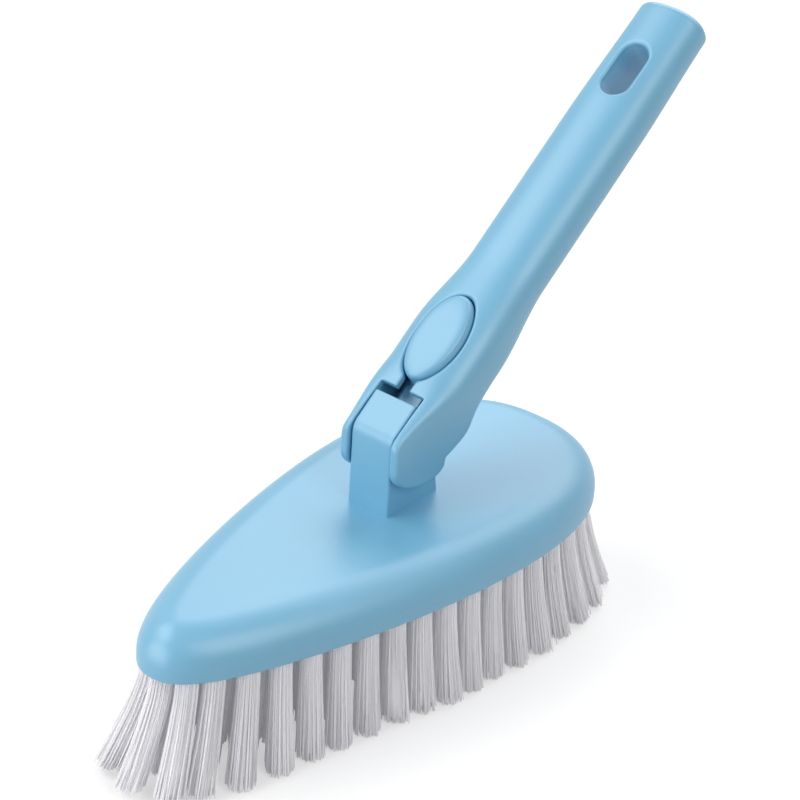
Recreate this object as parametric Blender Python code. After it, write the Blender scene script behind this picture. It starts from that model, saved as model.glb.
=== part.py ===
"""A hand brush for scrubbing tiled floors, modelled as its separate moulded pieces.

The head is an oval block, narrow at the toe and broad at the heel. A post rises from it and runs on as
a tongue into the handle, whose lower end is a fork that straddles the post. A rocking latch in the
handle shows as a raised oval pad: its hook sits in a notch of the tongue, and a coil spring under the
pad keeps it there. The tufts of bristle stand in rows across the head, each row with the slice of the
block that it is set in.

Units are metres. X runs from toe to heel, Y across the head, Z up, with the floor at the bristle tips.
"""

import math

import bmesh
import bpy
from mathutils import Vector

# Clearances
GAP = 0.0003
PIVOT_GAP = 0.00035
PAD_GAP = 0.0006

# Head block
HEAD_LENGTH = 0.220
HEAD_WIDTH = 0.0985
HEAD_FULLNESS = 0.865
HEAD_TAPER = 0.374
HEAD_THICKNESS = 0.0178
HEAD_RIM = 0.0033
HEAD_ROUNDING = 0.0145
HEAD_EDGE = 0.0007
BRISTLE_LENGTH = 0.0435

# Post on the head
POST_FRONT_X = 0.0014
POST_LENGTH = 0.0300
POST_HALF_WIDTH = 0.0090
POST_FOOT_RADIUS = 0.0010
POST_BACK_SLOPE = 0.0045

# Line of the handle: it passes through this point on the head and leans back towards the heel
HANDLE_FOOT_X = -0.0154
HANDLE_LEAN = math.radians(37.73)
HANDLE_LENGTH = 0.2340
HANDLE_CROWN = 0.0010
HANDLE_END_ROUNDING = 0.0028

# Grip, the straight upper part of the handle
GRIP_HALF_WIDTH = 0.0153
GRIP_FRONT = 0.0118
GRIP_BACK = 0.0121
GRIP_SQUARENESS = 2.3
GRIP_START = 0.115
GRIP_NARROWING_LENGTH = 0.054
GRIP_NARROWING = 0.07

# Shoulder, the swelling round the latch
SHOULDER_HALF_WIDTH = 0.0180
SHOULDER_FRONT = 0.0141
SHOULDER_BACK = 0.0124
SHOULDER_SQUARENESS = 2.9
SHOULDER_PLACE = 0.066
SHOULDER_END = 0.080

# Fork, the lower end of the handle that straddles the post
FORK_HALF_WIDTH = 0.0134
FORK_FRONT = 0.0155
FORK_SQUARENESS = 9.0
FORK_PLACE = 0.030
FORK_REACH = 0.0260
FORK_SET_FORWARD = 0.0019
FRONT_BEND = 0.0030
EAR_CLEARANCE = 0.0092
EAR_BOTTOM_PLACE = 0.0170
EAR_FRONT_START = 0.0200
EAR_BACK_START = 0.0146

# Tongue of the head inside the handle
TONGUE_FRONT = 0.0145
TONGUE_RIB_FRONT = 0.0125
TONGUE_SHOULDER_FRONT = 0.0105
TONGUE_SHOULDER_PLACE = 0.0420
TONGUE_RIB_HALF_WIDTH = 0.0040
TONGUE_RIB_END = 0.0475
TONGUE_STEP_BACK = 0.0003
TONGUE_HALF_WIDTH = 0.0070
TONGUE_TOP = 0.0037
TONGUE_BACK = 0.0080
TONGUE_END = 0.0635
NOTCH_DEPTH = 0.0021
NOTCH_RELIEF = 0.0006

# Window, slot and cavity in the front of the handle
SLOT_HALF_WIDTH = 0.0098
SLOT_END = 0.0525
SLOT_STEM_HALF_WIDTH = 0.0030
CAVITY_HALF_WIDTH = 0.0104
FRONT_WALL = 0.0029
CAVITY_DEPTH = 0.0010

# Latch lever with its raised oval pad
PAD_CENTRE = 0.0758
PAD_LENGTH = 0.0366
PAD_WIDTH = 0.0188
PAD_PROUD = 0.0017
PAD_DOME = 0.0014
PAD_DOME_SHARE = 0.4
PAD_DRAFT = 0.03
LEVER_BACK = 0.0050
LEVER_FRONT = 0.0068
LEVER_HALF_WIDTH = 0.0045
HOOK_PLACE = 0.0502
HOOK_LENGTH = 0.0038
HOOK_REACH = 0.0014
PIVOT_PLACE = 0.0640
PIVOT_HEIGHT = 0.0066
PIVOT_RADIUS = 0.0020
PIVOT_SEAT = 0.0028

# Return spring of the latch
SPRING_PLACE = 0.0850
SPRING_RADIUS = 0.0031
SPRING_WIRE = 0.0004
SPRING_TURNS = 5
SPRING_CUP_DEPTH = 0.0012

# Hang hole
HOLE_END_DISTANCE = 0.0318
HOLE_LENGTH = 0.0236
HOLE_WIDTH = 0.0118
HOLE_FLARE = 0.0011
HOLE_FLARE_DEPTH = 0.0020
HOLE_FLARE_HOLLOW = 0.35

# Tufts of bristle
ROW_COUNT = 19
TUFT_PITCH = 0.0120
TUFT_LEAST_PITCH = 0.0076
TUFT_INSET = 0.0065
ROW_END_INSET = 0.0070
TUFT_RADIUS = 0.0026
TUFT_SPREAD = 0.0012
STRANDS_PER_TUFT = 4
STRAND_BASE = 0.0015
STRAND_TIP = 0.0019
STRAND_ROOT = 0.0012
LEAN_SIDE = 0.0052
LEAN_CORNER = 0.0040
LEAN_TOE = 0.0190
LEAN_HEEL = 0.0160
LEAN_GROWTH = 1.7
TRIM = 0.0005
SLICE_THICKNESS = 0.0030
SLICE_INSET = 0.0022

# How finely round forms are divided
OUTLINE_POINTS = 96
SECTION_POINTS = 40
ROUNDING_STEPS = 7
HANDLE_STEP = 0.0060

HEAD_TOP = BRISTLE_LENGTH + HEAD_THICKNESS
ALONG = Vector((math.cos(HANDLE_LEAN), 0.0, math.sin(HANDLE_LEAN)))
OUT = Vector((-math.sin(HANDLE_LEAN), 0.0, math.cos(HANDLE_LEAN)))
ACROSS = Vector((0.0, 1.0, 0.0))
FOOT = Vector((HANDLE_FOOT_X, 0.0, HEAD_TOP))


def on_handle(place, height, side=0.0):
    """The point at this place along the handle's line, this far out towards its front and to the side."""
    return FOOT + ALONG * place + OUT * height + ACROSS * side


def place_at_x(x, height):
    """Where along the handle's line the point at this height has this x."""
    return (x - HANDLE_FOOT_X - OUT.x * height) / ALONG.x


def blend(value, start, end):
    """Rises smoothly from 0 at start to 1 at end."""
    share = min(max((value - start) / (end - start), 0.0), 1.0)
    return share * share * (3.0 - 2.0 * share)


# Meshes and objects


def add_object(name, bm, colour, roughness, origin=None):
    """A named object with its own plastic, shaded smooth and with its origin where asked."""
    bmesh.ops.recalc_face_normals(bm, faces=bm.faces)
    mesh = bpy.data.meshes.new(name)
    if origin is not None:
        bmesh.ops.translate(bm, verts=bm.verts, vec=-Vector(origin))
    bm.to_mesh(mesh)
    bm.free()
    obj = bpy.data.objects.new(name, mesh)
    if origin is not None:
        obj.location = origin
    bpy.context.scene.collection.objects.link(obj)
    mesh.shade_smooth()
    mesh.set_sharp_from_angle(angle=math.radians(35))
    material = bpy.data.materials.new(name + "_material")
    material.use_nodes = True
    shader = material.node_tree.nodes["Principled BSDF"]
    shader.inputs["Base Color"].default_value = (*colour, 1.0)
    shader.inputs["Roughness"].default_value = roughness
    mesh.materials.append(material)
    return obj


def add_helper(name, bm):
    """A solid that only shapes another one: it stays out of renders."""
    bmesh.ops.recalc_face_normals(bm, faces=bm.faces)
    mesh = bpy.data.meshes.new(name)
    bm.to_mesh(mesh)
    bm.free()
    obj = bpy.data.objects.new(name, mesh)
    bpy.context.scene.collection.objects.link(obj)
    obj.hide_render = True
    obj.display_type = "WIRE"
    return obj


def combine(obj, operation, helper):
    """Adds the helper's solid to the object, or cuts it away."""
    modifier = obj.modifiers.new(helper.name, "BOOLEAN")
    modifier.operation = operation
    modifier.solver = "EXACT"
    modifier.object = helper


def loft(rings):
    """One closed solid through rings of equally many points, with a flat face at each end."""
    bm = bmesh.new()
    loops = [[bm.verts.new(point) for point in ring] for ring in rings]
    for lower, upper in zip(loops, loops[1:]):
        for i in range(len(lower)):
            j = (i + 1) % len(lower)
            bm.faces.new((lower[i], lower[j], upper[j], upper[i]))
    bm.faces.new(loops[0])
    bm.faces.new(loops[-1])
    bmesh.ops.recalc_face_normals(bm, faces=bm.faces)
    return bm


def prism(outline, start, direction):
    """The solid that a flat outline sweeps when it moves from start by direction."""
    start, direction = Vector(start), Vector(direction)
    lower = [Vector(point) + start for point in outline]
    return loft([lower, [point + direction for point in lower]])


def handle_block(place, height, half_width):
    """A block square to the handle's line, between two places and two heights."""
    (start, end), (low, high) = place, height
    corners = [(start, low), (end, low), (end, high), (start, high)]
    outline = [on_handle(s, n, -half_width) for s, n in corners]
    return prism(outline, (0, 0, 0), ACROSS * (2 * half_width))


def joined(solids):
    """Several solids in one helper mesh."""
    whole = bmesh.new()
    for bm in solids:
        mesh = bpy.data.meshes.new("piece")
        bm.to_mesh(mesh)
        bm.free()
        whole.from_mesh(mesh)
        bpy.data.meshes.remove(mesh)
    return whole


# Outline of the head


def taper_shape(t):
    """Half-width of the head at t, from -1 at the toe to 1 at the heel, before it is scaled."""
    return max(1.0 - t * t, 0.0) ** (HEAD_FULLNESS / 2) * math.exp(HEAD_TAPER * t)


def broadest():
    """Where taper_shape is largest: the root of taper t squared plus fullness t less taper."""
    root = math.sqrt(HEAD_FULLNESS**2 + 4 * HEAD_TAPER**2)
    return (root - HEAD_FULLNESS) / (2 * HEAD_TAPER)


def outline_point(angle, inset=0.0):
    """A point of the head's outline, the toe at angle 0 and the heel at pi, moved straight in by inset."""
    t = -math.cos(angle)
    x = t * HEAD_LENGTH / 2
    y = HEAD_WIDTH / 2 * taper_shape(t) / taper_shape(broadest())
    slope = y * (HEAD_TAPER - HEAD_FULLNESS * t / (1.0 - t * t)) / (HEAD_LENGTH / 2)
    steepness = math.hypot(1.0, slope)
    return x + inset * slope / steepness, y - inset / steepness


def head_half_width(x, inset=0.0):
    """Half the head's width at x, inset away from the outline all round."""
    low, high = 1e-3, math.pi - 1e-3
    for _ in range(40):
        middle = (low + high) / 2
        if outline_point(middle, inset)[0] < x:
            low = middle
        else:
            high = middle
    return max(outline_point(low, inset)[1], 0.0)


def pocket_outline(z):
    """The edge of the pocket that holds the slices of tufts, an even distance inside the head's edge."""
    half = []
    for i in range(OUTLINE_POINTS // 2):
        half.append(outline_point(math.pi * (i + 0.5) / (OUTLINE_POINTS // 2), SLICE_INSET))
    return [(x, y, z) for x, y in half] + [(x, -y, z) for x, y in reversed(half)]


def rounded_outline(inset, z):
    """The head's outline an even distance further in, for its rounded top, as one simple loop."""
    half_length = HEAD_LENGTH / 2 - inset
    half = []
    for i in range(OUTLINE_POINTS // 2):
        x = -half_length * math.cos(math.pi * (i + 0.5) / (OUTLINE_POINTS // 2))
        half.append((x, max(head_half_width(x, inset), HEAD_EDGE)))
    return [(x, y, z) for x, y in half] + [(x, -y, z) for x, y in reversed(half)]


# Sections of the handle


def section(place, shrink=0.0):
    """The handle's cross-section there: a deep rounded box at the fork, an oval along the grip."""
    to_shoulder = blend(place, FORK_PLACE, SHOULDER_PLACE)
    to_grip = blend(place, SHOULDER_END, GRIP_START)
    sizes = []
    for fork, shoulder, grip in (
        (FORK_HALF_WIDTH, SHOULDER_HALF_WIDTH, GRIP_HALF_WIDTH),
        (FORK_FRONT, SHOULDER_FRONT, GRIP_FRONT),
        (SHOULDER_BACK, SHOULDER_BACK, GRIP_BACK),
        (FORK_SQUARENESS, SHOULDER_SQUARENESS, GRIP_SQUARENESS),
    ):
        sizes.append(fork + (shoulder - fork) * to_shoulder + (grip - shoulder) * to_grip)
    squareness = sizes.pop()
    narrowing_start = HANDLE_LENGTH - GRIP_NARROWING_LENGTH
    narrowing = 1 - GRIP_NARROWING * blend(place, narrowing_start, HANDLE_LENGTH)
    half_width, front, back = [size * narrowing for size in sizes]
    back += FORK_REACH * (1 - blend(place, TONGUE_SHOULDER_PLACE, fork_seat() + GRIP_BACK))
    ring = []
    for i in range(SECTION_POINTS):
        angle = 2 * math.pi * (i + 0.5) / SECTION_POINTS
        c, s = math.cos(angle), math.sin(angle)
        side = math.copysign(abs(c) ** (2 / squareness), c) * (half_width - shrink)
        reach = front if s > 0 else back
        height = math.copysign(abs(s) ** (2 / squareness), s) * (reach - shrink)
        ring.append((side, height))
    return ring


def handle_front(place):
    """Height of the handle's front surface on its centre line."""
    return max(height for _, height in section(place))


# Head block


def block_body():
    """The oval block: a pocket below for the slices of tufts, a square rim and a rounded top edge."""
    rings = [
        pocket_outline(BRISTLE_LENGTH + SLICE_THICKNESS + GAP),
        pocket_outline(BRISTLE_LENGTH),
        rounded_outline(HEAD_EDGE, BRISTLE_LENGTH),
        rounded_outline(0.0, BRISTLE_LENGTH + HEAD_EDGE),
    ]
    for i in range(ROUNDING_STEPS + 1):
        angle = math.pi / 2 * i / ROUNDING_STEPS
        inset = HEAD_ROUNDING * (1 - math.cos(angle))
        rise = (HEAD_THICKNESS - HEAD_RIM) * math.sin(angle)
        rings.append(rounded_outline(inset, BRISTLE_LENGTH + HEAD_RIM + rise))
    return loft(rings)


def soft_bend(x, height):
    """Side view of the rounded bend from an upright front at x to a front along the handle's line."""
    corner = on_handle(place_at_x(x, height), height)
    points = []
    for i in range(5):
        share = i / 4
        before, after = FRONT_BEND * (1 - share) ** 2, FRONT_BEND * share**2
        point = corner + ALONG * after
        points.append((point.x, point.z - before))
    return points


def post_outline():
    """Side view of the post and of the tongue's lower end, as (x, z) points."""
    back_x = POST_FRONT_X + POST_LENGTH
    seat = fork_seat()
    points = [(POST_FRONT_X, HEAD_TOP - HEAD_RIM)] + soft_bend(POST_FRONT_X, TONGUE_FRONT)
    for place, height in (
        (TONGUE_SHOULDER_PLACE, TONGUE_FRONT),
        (TONGUE_SHOULDER_PLACE, TONGUE_SHOULDER_FRONT),
        (TONGUE_RIB_END - TONGUE_STEP_BACK, TONGUE_SHOULDER_FRONT),
        (TONGUE_RIB_END - TONGUE_STEP_BACK, -TONGUE_BACK),
        (seat, -TONGUE_BACK),
        (seat, -SHOULDER_BACK),
    ):
        point = on_handle(place, height)
        points.append((point.x, point.z))
    points.append((back_x, HEAD_TOP - HEAD_RIM))
    return points


def post_solid():
    outline = [(x, -POST_HALF_WIDTH, z) for x, z in post_outline()]
    return prism(outline, (0, 0, 0), (0, 2 * POST_HALF_WIDTH, 0))


def post_fillet():
    """The hollow rounding where the post meets the top of the block."""
    centre_x = POST_FRONT_X + POST_LENGTH / 2
    half_length = (POST_LENGTH - POST_BACK_SLOPE / 3) / 2
    levels = [(-HEAD_RIM, POST_FOOT_RADIUS)]
    for i in range(5):
        angle = math.pi / 2 * (i + 0.5) / 5
        levels.append((POST_FOOT_RADIUS * (1 - math.cos(angle)), POST_FOOT_RADIUS * (1 - math.sin(angle))))
    levels.append((POST_FOOT_RADIUS, -POST_FOOT_RADIUS / 5))
    rings = []
    for rise, spread in levels:
        length, width = half_length + spread, POST_HALF_WIDTH + spread
        corners = ((-1, -1), (1, -1), (1, 1), (-1, 1))
        rings.append([(centre_x + i * length, j * width, HEAD_TOP + rise) for i, j in corners])
    return loft(rings)


def make_head_block():
    head = add_object("head_block", block_body(), (0.35, 0.56, 0.74), 0.42)
    combine(head, "UNION", add_helper("post_shape", post_solid()))
    combine(head, "UNION", add_helper("post_fillet_shape", post_fillet()))
    seat = fork_seat()
    rib = handle_block(
        (TONGUE_SHOULDER_PLACE - POST_LENGTH / 4, TONGUE_RIB_END),
        (0.0, TONGUE_RIB_FRONT),
        TONGUE_RIB_HALF_WIDTH,
    )
    combine(head, "UNION", add_helper("rib_shape", rib))
    tongue = handle_block(
        (seat - POST_LENGTH / 4, TONGUE_END),
        (TONGUE_STEP_BACK - TONGUE_BACK, TONGUE_TOP),
        TONGUE_HALF_WIDTH,
    )
    combine(head, "UNION", add_helper("tongue_shape", tongue))
    notch = handle_block(
        (HOOK_PLACE - NOTCH_RELIEF, HOOK_PLACE + HOOK_LENGTH + GAP),
        (TONGUE_TOP - NOTCH_DEPTH, TONGUE_TOP + NOTCH_DEPTH),
        LEVER_HALF_WIDTH + GAP,
    )
    combine(head, "DIFFERENCE", add_helper("notch_cut", notch))
    return head


# Handle


def fork_seat():
    """Where the back wall of the handle ends, on the post's shoulder."""
    return place_at_x(POST_FRONT_X + POST_LENGTH - POST_BACK_SLOPE, -SHOULDER_BACK)


def quarter(corner_from, corner_to, upright_first, steps=7):
    """Points of a quarter ellipse from one point to another, leaving the first upright or level."""
    (x0, z0), (x1, z1) = corner_from, corner_to
    points = []
    for i in range(steps + 1):
        angle = math.pi / 2 * i / steps
        rise, run = math.sin(angle), 1 - math.cos(angle)
        if not upright_first:
            rise, run = run, rise
        points.append((x0 + (x1 - x0) * run, z0 + (z1 - z0) * rise))
    return points


def side_profile():
    """Side view that the handle's lower end is trimmed to, as (x, z) points.

    Each cheek of the fork is upright in front, with a soft bend above and a rounding below. Above it
    the outline lies outside the handle, apart from the end of the back wall, which is square to the
    handle's line.
    """
    front_x = POST_FRONT_X - FORK_SET_FORWARD
    beyond = HANDLE_LENGTH + FORK_REACH
    wide = FORK_REACH + SHOULDER_FRONT
    seat = on_handle(fork_seat(), -SHOULDER_BACK)
    flush_end = fork_seat() + GRIP_BACK + HANDLE_STEP
    over_front = FORK_FRONT + GAP / 3
    bend_end = place_at_x(front_x, over_front) + FRONT_BEND
    bottom = (POST_FRONT_X + EAR_BOTTOM_PLACE, HEAD_TOP + EAR_CLEARANCE)
    points = quarter((front_x, HEAD_TOP + EAR_FRONT_START), bottom, True)
    points += quarter(bottom, (seat.x, HEAD_TOP + EAR_BACK_START), False)[1:]
    for place, height in (
        (fork_seat(), -SHOULDER_BACK),
        (flush_end, -SHOULDER_BACK),
        (flush_end, -wide),
        (beyond, -wide),
        (beyond, wide),
        (bend_end, wide),
    ):
        point = on_handle(place, height)
        points.append((point.x, point.z))
    return points + soft_bend(front_x, over_front)[::-1]


def profile_solid():
    half = SHOULDER_HALF_WIDTH + GRIP_HALF_WIDTH
    outline = [(x, -half, z) for x, z in side_profile()]
    return prism(outline, (0, 0, 0), (0, 2 * half, 0))


def handle_body():
    """The handle's solid from below the fork to its rounded, slightly domed end."""
    start = FORK_PLACE / 2
    straight = HANDLE_LENGTH - HANDLE_END_ROUNDING
    steps = round((straight - start) / HANDLE_STEP)
    rings = []
    for i in range(steps + 1):
        place = start + (straight - start) * i / steps
        rings.append([on_handle(place, height, side) for side, height in section(place)])
    for i in range(1, 6):
        angle = math.pi / 2 * i / 5
        shrink = HANDLE_END_ROUNDING * (1 - math.cos(angle))
        place = straight + HANDLE_END_ROUNDING * math.sin(angle)
        rings.append([on_handle(place, height, side) for side, height in section(straight, shrink)])
    crown = place + HANDLE_CROWN / 2
    rings.append([on_handle(crown, height / 2, side / 2) for side, height in section(straight)])
    return loft(rings)


def oval_outline(length, width, points):
    """An oval drawn along the handle, as (place, side) offsets."""
    return [
        (length / 2 * math.cos(2 * math.pi * i / points), width / 2 * math.sin(2 * math.pi * i / points))
        for i in range(points)
    ]


def stadium_outline(length, width, points):
    """A slot with round ends along the handle, as (place, side) offsets."""
    outline = []
    for end in (1.0, -1.0):
        for i in range(points + 1):
            angle = math.pi * (i / points - 0.5)
            place = end * (length / 2 - width / 2 + width / 2 * math.cos(angle))
            outline.append((place, end * width / 2 * math.sin(angle)))
    return outline


def handle_lofted(levels, centre):
    """A solid through outlines given as (height, [(place, side), ...]), centred on a place."""
    return loft([[on_handle(centre + s, n, y) for s, y in outline] for n, outline in levels])


def hang_hole():
    """The hole's solid: straight through the handle, and flared a little at both faces."""
    levels = []
    beyond = 2 * HOLE_FLARE_DEPTH
    for sign, face in ((-1, GRIP_BACK), (1, GRIP_FRONT)):
        heights = [face + beyond, face, face - HOLE_FLARE_DEPTH / 2, face - HOLE_FLARE_DEPTH]
        widths = [1 + beyond / HOLE_FLARE_DEPTH, 1.0, HOLE_FLARE_HOLLOW, 0.0]
        if sign > 0:
            heights.reverse()
            widths.reverse()
        for height, share in zip(heights, widths):
            grow = 2 * HOLE_FLARE * share
            outline = stadium_outline(HOLE_LENGTH + grow, HOLE_WIDTH + grow, 8)
            levels.append((sign * height, outline))
    return handle_lofted(levels, HANDLE_LENGTH - HOLE_END_DISTANCE)


def pivot_rod(radius, half_length, points):
    """A round rod across the handle at the latch's pivot."""
    centre = on_handle(PIVOT_PLACE, PIVOT_HEIGHT)
    outline = []
    for i in range(points):
        angle = 2 * math.pi * i / points
        outline.append(centre + Vector((radius * math.cos(angle), -half_length, radius * math.sin(angle))))
    return prism(outline, (0, 0, 0), (0, 2 * half_length, 0))


def make_handle():
    handle = add_object("handle", handle_body(), (0.35, 0.57, 0.76), 0.42)
    combine(handle, "INTERSECT", add_helper("side_profile_shape", profile_solid()))
    inner_front = min(handle_front(SHOULDER_PLACE), FORK_FRONT) - FRONT_WALL
    beyond = FORK_REACH + SHOULDER_FRONT
    window_end = PAD_CENTRE + PAD_LENGTH / 2 + PAD_GAP
    floor = -TONGUE_BACK - GAP
    fork_half = POST_HALF_WIDTH + GAP
    # The gap of the fork, open in front and below, with the post's shoulder under the back wall
    gap_below = handle_block((-beyond, fork_seat() + GAP), (-beyond, TONGUE_TOP), fork_half)
    gap_in_front = handle_block((-beyond, TONGUE_SHOULDER_PLACE), (0.0, beyond), fork_half)
    mouth = handle_block((0.0, SLOT_END), (floor, beyond), SLOT_HALF_WIDTH)
    channel = handle_block(
        (0.0, window_end), (floor + TONGUE_STEP_BACK, 0.0), TONGUE_HALF_WIDTH + GAP
    )
    cavity_start = (TONGUE_SHOULDER_PLACE + TONGUE_RIB_END) / 2
    cavity = handle_block(
        (cavity_start, window_end + FRONT_WALL / 3), (-CAVITY_DEPTH, inner_front), CAVITY_HALF_WIDTH
    )
    stem = handle_block(
        ((TONGUE_RIB_END + SLOT_END) / 2, PAD_CENTRE - PAD_LENGTH / 3),
        (0.0, beyond),
        SLOT_STEM_HALF_WIDTH,
    )
    window_outline = oval_outline(PAD_LENGTH + 2 * PAD_GAP, PAD_WIDTH + 2 * PAD_GAP, 32)
    window = handle_lofted([(0.0, window_outline), (beyond, window_outline)], PAD_CENTRE)
    bores = pivot_rod(PIVOT_RADIUS + PIVOT_GAP, CAVITY_HALF_WIDTH + PIVOT_SEAT, 16)
    cuts = {
        "fork_gap_cut": gap_below,
        "fork_front_cut": gap_in_front,
        "mouth_cut": mouth,
        "channel_cut": channel,
        "cavity_cut": cavity,
        "slot_stem_cut": stem,
        "pad_window_cut": window,
        "pivot_bore_cut": bores,
        "hang_hole_cut": hang_hole(),
    }
    for name, bm in cuts.items():
        combine(handle, "DIFFERENCE", add_helper(name, bm))
    return handle


# Latch


def pad_solid():
    """The raised oval: upright sides through the handle's front wall, and a low dome."""
    top = handle_front(PAD_CENTRE) + PAD_PROUD
    levels = [(LEVER_BACK, 1.0)]
    for i in range(6):
        angle = math.pi / 2 * i / 6
        share = 1 - PAD_DRAFT - PAD_DOME_SHARE * (1 - math.cos(angle))
        levels.append((top - PAD_DOME * (1 - math.sin(angle)), share))
    levels.append((top, 1 - PAD_DOME_SHARE - PAD_DRAFT - PAD_DOME_SHARE / 2))
    outlines = [
        (height, oval_outline(PAD_LENGTH * share, PAD_WIDTH * share, 32)) for height, share in levels
    ]
    return handle_lofted(outlines, PAD_CENTRE)


def make_latch_lever():
    pivot = on_handle(PIVOT_PLACE, PIVOT_HEIGHT)
    lever = add_object("latch_lever", pad_solid(), (0.36, 0.58, 0.77), 0.40, origin=pivot)
    arm = handle_block(
        (HOOK_PLACE - GAP / 2, PAD_CENTRE), (LEVER_BACK + GAP, LEVER_FRONT), LEVER_HALF_WIDTH
    )
    hook = handle_block(
        (HOOK_PLACE, HOOK_PLACE + HOOK_LENGTH),
        (TONGUE_TOP - HOOK_REACH, (LEVER_BACK + LEVER_FRONT) / 2),
        LEVER_HALF_WIDTH - GAP,
    )
    trunnions = pivot_rod(PIVOT_RADIUS, CAVITY_HALF_WIDTH + PIVOT_SEAT - GAP, 16)
    for name, bm in (("lever_arm_shape", arm), ("lever_hook_shape", hook), ("trunnion_shape", trunnions)):
        combine(lever, "UNION", add_helper(name, bm))
    cup = oval_outline(2 * (SPRING_RADIUS + SPRING_WIRE + GAP), 2 * (SPRING_RADIUS + SPRING_WIRE + GAP), 16)
    levels = [(LEVER_BACK - SPRING_CUP_DEPTH, cup), (LEVER_BACK + SPRING_CUP_DEPTH, cup)]
    combine(lever, "DIFFERENCE", add_helper("spring_cup_cut", handle_lofted(levels, SPRING_PLACE)))
    return lever


def make_latch_spring():
    """The coil stands on the channel's floor and reaches into the cup under the pad."""
    low = TONGUE_STEP_BACK - TONGUE_BACK + SPRING_WIRE
    high = LEVER_BACK + SPRING_CUP_DEPTH - SPRING_WIRE - GAP
    steps = SPRING_TURNS * 10
    curve = bpy.data.curves.new("latch_spring", "CURVE")
    curve.dimensions = "3D"
    curve.bevel_depth = SPRING_WIRE
    curve.bevel_resolution = 1
    curve.use_fill_caps = True
    spline = curve.splines.new("POLY")
    spline.points.add(steps)
    points = []
    for i in range(steps + 1):
        angle = 2 * math.pi * SPRING_TURNS * i / steps
        side = SPRING_RADIUS * math.sin(angle)
        place = SPRING_PLACE + SPRING_RADIUS * math.cos(angle)
        point = on_handle(place, low + (high - low) * i / steps, side)
        points.append(point)
        spline.points[i].co = (*point, 1.0)
    pitch = (high - low) / SPRING_TURNS
    print(f"latch spring: gap between turns {1000 * (pitch - 2 * SPRING_WIRE):.2f} mm")
    obj = bpy.data.objects.new("latch_spring", curve)
    bpy.context.scene.collection.objects.link(obj)
    material = bpy.data.materials.new("spring_steel")
    material.use_nodes = True
    shader = material.node_tree.nodes["Principled BSDF"]
    shader.inputs["Base Color"].default_value = (0.62, 0.62, 0.62, 1.0)
    shader.inputs["Metallic"].default_value = 1.0
    shader.inputs["Roughness"].default_value = 0.3
    curve.materials.append(material)
    return obj


# Tufts of bristle


def row_places():
    """The x of each row of tufts, evenly spaced from the toe to the heel, with one row at the centre."""
    reach = HEAD_LENGTH / 2 - ROW_END_INSET
    half_count = ROW_COUNT // 2
    return [reach * i / half_count for i in range(-half_count, half_count + 1)]


def tufts_of_row(x):
    """The y of each tuft in the row at x. The row at the centre has a tuft in its middle."""
    reach = head_half_width(x, TUFT_INSET)
    steps = round(2 * reach / TUFT_PITCH)
    if x == 0.0:
        steps = 2 * round(reach / TUFT_PITCH)
    steps = min(steps, int(2 * reach / TUFT_LEAST_PITCH))
    if steps == 0:
        return [0.0]
    return [-reach + 2 * reach * i / steps for i in range(steps + 1)]


def tuft_lean(x, y):
    """How far a tuft's tips stand outside its root: nothing at the middle, most at the toe and heel."""
    along = x / (HEAD_LENGTH / 2)
    across = y / max(head_half_width(x), TUFT_INSET)
    growth = abs(along) ** LEAN_GROWTH
    lean_x = (-LEAN_TOE if x < 0 else LEAN_HEEL) * growth
    return lean_x, (LEAN_SIDE + LEAN_CORNER * growth) * across * abs(across)


def tip_height(lean_x):
    """How high a leaning tuft ends: all are equally long, and what passes the floor is trimmed flat."""
    length = BRISTLE_LENGTH + TRIM
    upright = math.sqrt(max(length**2 - lean_x**2, 0.0))
    return max(BRISTLE_LENGTH - upright, 0.0)


def strand_solid(x, y, number):
    """One strand of a tuft: a four-sided stem from inside the slice to a flat tip.

    Strand 0 is the tuft's core. The others stand round it, the first on the side away from the
    centre of the head.
    """
    lean_x, lean_y = tuft_lean(x, y)
    angle = math.atan2(y, x) + 2 * math.pi * number / (STRANDS_PER_TUFT - 1)
    out = 0.0 if number == 0 else 1.0
    rings = []
    for z, radius, size in (
        (tip_height(lean_x) if x < 0 else 0.0, TUFT_RADIUS + TUFT_SPREAD, STRAND_TIP),
        (BRISTLE_LENGTH + STRAND_ROOT, TUFT_RADIUS, STRAND_BASE),
    ):
        drop = 1.0 - z / BRISTLE_LENGTH
        centre_x = x + lean_x * drop + out * radius * math.cos(angle)
        centre_y = y + lean_y * drop + out * radius * math.sin(angle)
        corners = ((-1, -1), (1, -1), (1, 1), (-1, 1))
        rings.append([(centre_x + i * size / 2, centre_y + j * size / 2, z) for i, j in corners])
    return loft(rings)


def slice_solid(low_x, high_x):
    """The strip of the block that one row is set in, clear of the pocket's wall and of its neighbours."""
    inset = SLICE_INSET + GAP
    limit = HEAD_LENGTH / 2 - inset
    low = max(low_x + GAP / 2, -limit)
    high = min(high_x - GAP / 2, limit)
    steps = 6
    upper, lower = [], []
    for i in range(steps + 1):
        share = i / steps
        if low == -limit:
            share = share**2
        if high == limit:
            share = 1 - (1 - share) ** 2
        x = low + (high - low) * share
        half = head_half_width(x, inset)
        upper.append((x, half, BRISTLE_LENGTH))
        if half > GAP:
            lower.append((x, -half, BRISTLE_LENGTH))
    return prism(upper + lower[::-1], (0, 0, 0), (0, 0, SLICE_THICKNESS))


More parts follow.
